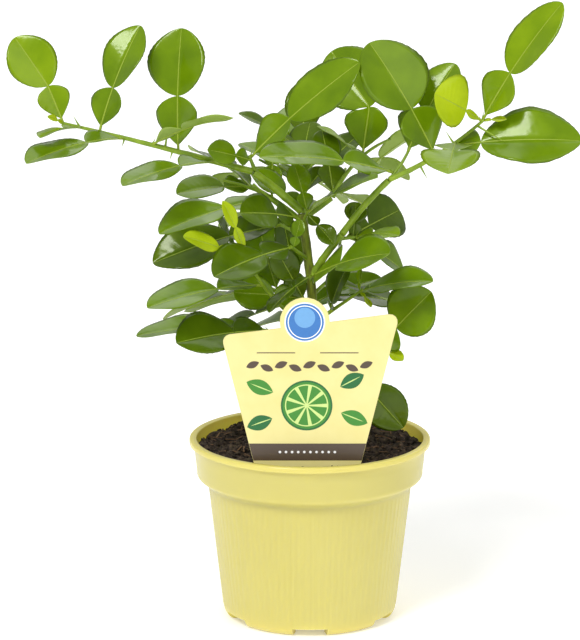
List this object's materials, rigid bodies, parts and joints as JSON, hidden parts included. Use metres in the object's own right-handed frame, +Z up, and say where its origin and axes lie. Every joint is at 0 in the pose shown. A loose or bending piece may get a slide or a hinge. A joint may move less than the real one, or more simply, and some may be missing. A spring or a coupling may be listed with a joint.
{
  "type": "potted kaffir lime tree",
  "caption": "Young kaffir lime tree with winged double leaves and thorny green stems, in a round nursery pot of soil with a plain plant label.",
  "frame": {"origin": "centre of the flat underside of the pot, on the pot's axis", "axes": "+Z up along the pot's axis, -Y towards the viewer of the picture, +X to the viewer's right"},
  "size_m": [0.3027, 0.1846, 0.337],
  "materials": {
    "pot": "satin moulded plastic, pale yellow",
    "soil": "dark crumbly peat",
    "label": "printed plastic sheet, pale yellow",
    "stems": "young green and brown bark",
    "foliage": "glossy leathery leaves"
  },
  "bodies": {
    "root": {"bough_back": "stems", "bough_centre": "stems", "bough_left": "stems", "bough_right": "stems", "bough_right_upper": "stems", "foliage_back": "foliage", "foliage_back_left": "foliage", "foliage_back_left_high": "foliage", "foliage_back_low": "foliage", "foliage_back_low_left": "foliage", "foliage_back_low_right": "foliage", "foliage_back_right": "foliage", "foliage_centre_left": "foliage", "foliage_foot_right": "foliage", "foliage_fork": "foliage", "foliage_front": "foliage", "foliage_inner_left": "foliage", "foliage_left": "foliage", "foliage_low_centre": "foliage", "foliage_low_left": "foliage", "foliage_low_right": "foliage", "foliage_mid_right": "foliage", "foliage_right": "foliage", "foliage_right_upper": "foliage", "foliage_top": "foliage", "foliage_top_back": "foliage", "foliage_upper_left": "foliage", "foliage_young_shoot": "foliage", "plant_label": "label", "pot": "pot", "soil": "soil", "trunk": "stems"}
  },
  "joints": []
}
